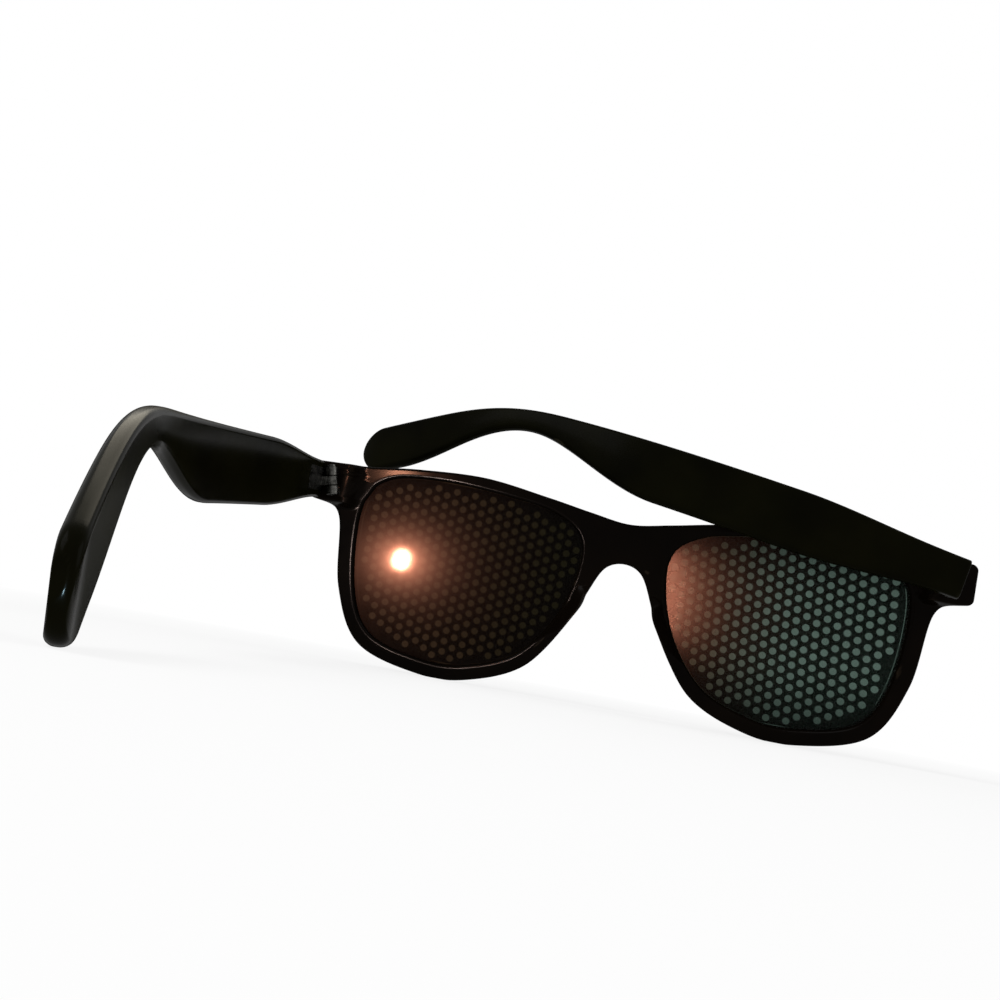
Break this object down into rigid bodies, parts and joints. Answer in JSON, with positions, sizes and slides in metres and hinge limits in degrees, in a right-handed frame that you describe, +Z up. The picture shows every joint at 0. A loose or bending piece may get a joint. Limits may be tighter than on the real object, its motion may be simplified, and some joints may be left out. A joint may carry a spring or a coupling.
{
  "type": "novelty glasses",
  "caption": "Dark plastic glasses with a wrapped front, perforated lens films and folding arms with ear hooks.",
  "frame": {"origin": "middle of the nose arch, halfway through the front's thickness", "axes": "+Y out of the front away from the wearer, +X to the wearer's right, +Z up from the surface it stands on"},
  "size_m": [0.1451, 0.1673, 0.066],
  "materials": {
    "frame_plastic": "glossy translucent dark brown",
    "arm_plastic": "glossy translucent dark brown",
    "lens_plastic": "glossy smoked",
    "film": "satin black",
    "hinge_metal": "bright plated"
  },
  "bodies": {
    "front": {"front_frame": "frame_plastic", "left_lens": "lens_plastic", "right_lens": "lens_plastic", "left_lens_film": "film", "right_lens_film": "film", "left_front_hinge_leaf": "hinge_metal", "right_front_hinge_leaf": "hinge_metal", "left_hinge_screw": "hinge_metal", "right_hinge_screw": "hinge_metal"},
    "left_arm": {"left_temple": "arm_plastic", "left_temple_hinge_leaf": "hinge_metal"},
    "right_arm": {"right_temple": "arm_plastic", "right_temple_hinge_leaf": "hinge_metal"}
  },
  "joints": [
    {"name": "left_temple_fold", "type": "hinge", "parent": "front", "child": "left_arm", "pos_m": [-0.06733, -0.01965, 0.00543], "axis": [-0.225, -0.1322, 0.9654], "range_deg": [-2.3, 83.7]},
    {"name": "right_temple_fold", "type": "hinge", "parent": "front", "child": "right_arm", "pos_m": [0.06733, -0.01965, 0.00543], "axis": [0.225, -0.1322, 0.9654], "range_deg": [0, 98]}
  ]
}
